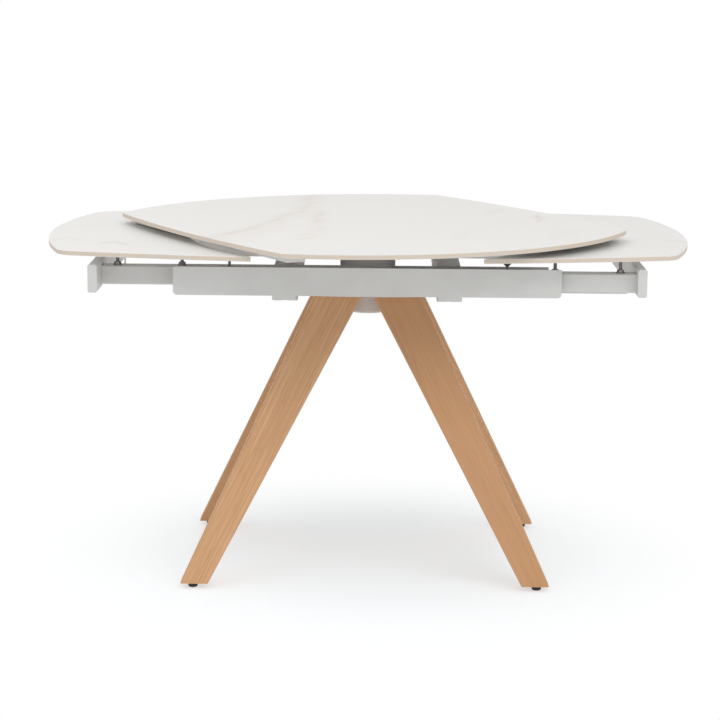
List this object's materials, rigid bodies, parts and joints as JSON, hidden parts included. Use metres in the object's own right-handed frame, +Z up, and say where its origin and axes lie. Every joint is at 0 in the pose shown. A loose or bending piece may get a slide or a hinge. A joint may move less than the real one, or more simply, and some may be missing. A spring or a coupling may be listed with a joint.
{
  "type": "extending dining table",
  "caption": "Extending dining table: a turning barrel-shaped stone panel gears two sliding end leaves out over a steel frame on splayed oak legs.",
  "frame": {"origin": "on the floor, under the panel's turning axis", "axes": "+X along the table towards the right leaf, +Y towards the back, +Z up"},
  "size_m": [1.4162, 1.1302, 0.775],
  "materials": {
    "stone": "matt marble look, white with faint beige veins",
    "white_paint": "off-white powder coat",
    "oak": "oiled oak",
    "black_plastic": "moulded black",
    "cap_plastic": "moulded off-white",
    "nylon": "natural nylon",
    "dark_steel": "black oxide",
    "zinc_steel": "zinc plated",
    "bearing_steel": "ground",
    "bronze": "sintered bronze",
    "buffer_rubber": "moulded"
  },
  "bodies": {
    "base": {"leg_front_left": "oak", "leg_rear_left": "oak", "leg_front_right": "oak", "leg_rear_right": "oak", "foot_glides": "black_plastic", "leg_bolts": "zinc_steel", "hub_plate": "white_paint", "hub_cup": "white_paint", "outer_rail_front": "white_paint", "outer_rail_rear": "white_paint", "inner_rail_front": "white_paint", "inner_rail_rear": "white_paint", "outer_rail_liners": "nylon", "inner_rail_liners": "nylon", "rail_bolts": "zinc_steel", "pivot_post": "zinc_steel", "post_washer": "zinc_steel", "post_nut": "zinc_steel", "lower_race": "bearing_steel", "stop_buffers": "buffer_rubber", "cross_bar_left": "white_paint", "cross_bar_right": "white_paint", "cross_tube_left": "white_paint", "cross_tube_right": "white_paint"},
    "bearing_cage": {"ball_cage": "nylon", "bearing_balls": "bearing_steel"},
    "panel": {"panel_top": "stone", "panel_bar_front": "white_paint", "panel_bar_rear": "white_paint", "panel_arm_left": "white_paint", "panel_arm_right": "white_paint", "turntable_drum": "white_paint", "pivot_bush": "bronze", "drum_screws": "zinc_steel", "drive_wheel": "zinc_steel", "upper_race": "bearing_steel", "stop_pin": "zinc_steel"},
    "left_leaf": {"left_leaf_top": "stone", "left_slides": "white_paint", "left_end_bar": "white_paint", "left_end_caps": "cap_plastic", "left_leaf_studs": "dark_steel", "left_stud_nuts": "dark_steel", "left_leaf_plates": "white_paint", "left_panel_pads": "dark_steel", "left_rack": "zinc_steel", "left_rack_angle": "white_paint"},
    "right_leaf": {"right_leaf_top": "stone", "right_slides": "white_paint", "right_end_bar": "white_paint", "right_end_caps": "cap_plastic", "right_leaf_studs": "dark_steel", "right_stud_nuts": "dark_steel", "right_leaf_plates": "white_paint", "right_panel_pads": "dark_steel", "right_rack": "zinc_steel", "right_rack_angle": "white_paint"}
  },
  "joints": [
    {"name": "panel_turn", "type": "hinge", "parent": "base", "child": "panel", "pos_m": [0, 0, 0.64], "axis": [0, 0, 1], "range_deg": [-30.5, 59.5]},
    {"name": "bearing_roll", "type": "hinge", "parent": "base", "child": "bearing_cage", "pos_m": [0, 0, 0.665], "axis": [0, 0, 1], "range_deg": [-15.3, 29.8]},
    {"name": "left_leaf_slide", "type": "slide", "parent": "base", "child": "left_leaf", "axis": [-1, 0, 0], "range_m": [-0.0786, 0.1533]},
    {"name": "right_leaf_slide", "type": "slide", "parent": "base", "child": "right_leaf", "axis": [1, 0, 0], "range_m": [-0.0786, 0.1533]}
  ],
  "couplings": [
    {"joint": "bearing_roll", "follows": "panel_turn", "ratio": 0.5},
    {"joint": "left_leaf_slide", "follows": "panel_turn", "m_per_rad": 0.1475},
    {"joint": "right_leaf_slide", "follows": "panel_turn", "m_per_rad": 0.1475}
  ]
}
